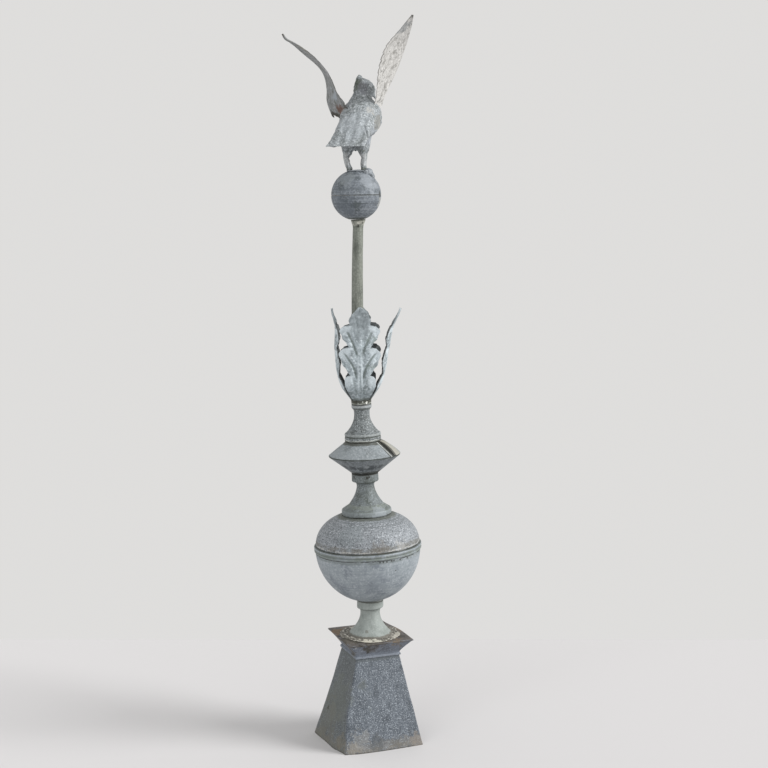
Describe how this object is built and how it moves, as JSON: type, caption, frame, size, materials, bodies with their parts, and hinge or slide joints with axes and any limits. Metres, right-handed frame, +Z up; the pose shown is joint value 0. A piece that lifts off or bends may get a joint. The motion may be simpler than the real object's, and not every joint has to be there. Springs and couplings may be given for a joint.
{
  "type": "roof finial",
  "caption": "Weathered zinc roof finial: battered square shoe, turned necks, large ball, double cone, acanthus leaves round a slender stem, small ball and a bird with raised wings.",
  "frame": {"origin": "middle of the finial's box in plan, on the surface it stands on", "axes": "+Z up; X and Y along the sides of the square shoe; the work above the shoe is turned by 21 degrees clockwise on it, seen from above"},
  "size_m": [0.3202, 0.2656, 1.7598],
  "materials": {
    "shoe": "dark weathered zinc, pale speckle, brown stain at the foot",
    "cap": "dark weathered zinc, brown dirt and old mortar on the top plate",
    "neck": "dull pale greenish-grey zinc patina",
    "ball": "dull bluish-grey zinc patina",
    "dome": "pitted grey zinc patina",
    "leaf": "dull light bluish-grey zinc with dark edges",
    "stem": "dull greenish-grey zinc with streaks",
    "top_ball": "dark slate-grey zinc with faint spun rings",
    "bird": "dull grey zinc, darker mossy head",
    "wing": "pale grey-cream zinc, rough"
  },
  "bodies": {
    "root": {"base_shoe": "shoe", "base_cap": "cap", "lower_neck": "neck", "big_ball_lower": "ball", "big_ball_upper": "dome", "middle_neck": "neck", "bicone_lower": "ball", "bicone_upper": "ball", "upper_neck": "neck", "stem_tube": "stem", "leaf_front": "leaf", "leaf_right": "leaf", "leaf_back": "leaf", "leaf_left": "leaf", "top_ball_lower": "top_ball", "top_ball_upper": "top_ball", "bird_body": "bird", "bird_wing_left": "wing", "bird_wing_right": "wing"}
  },
  "joints": []
}
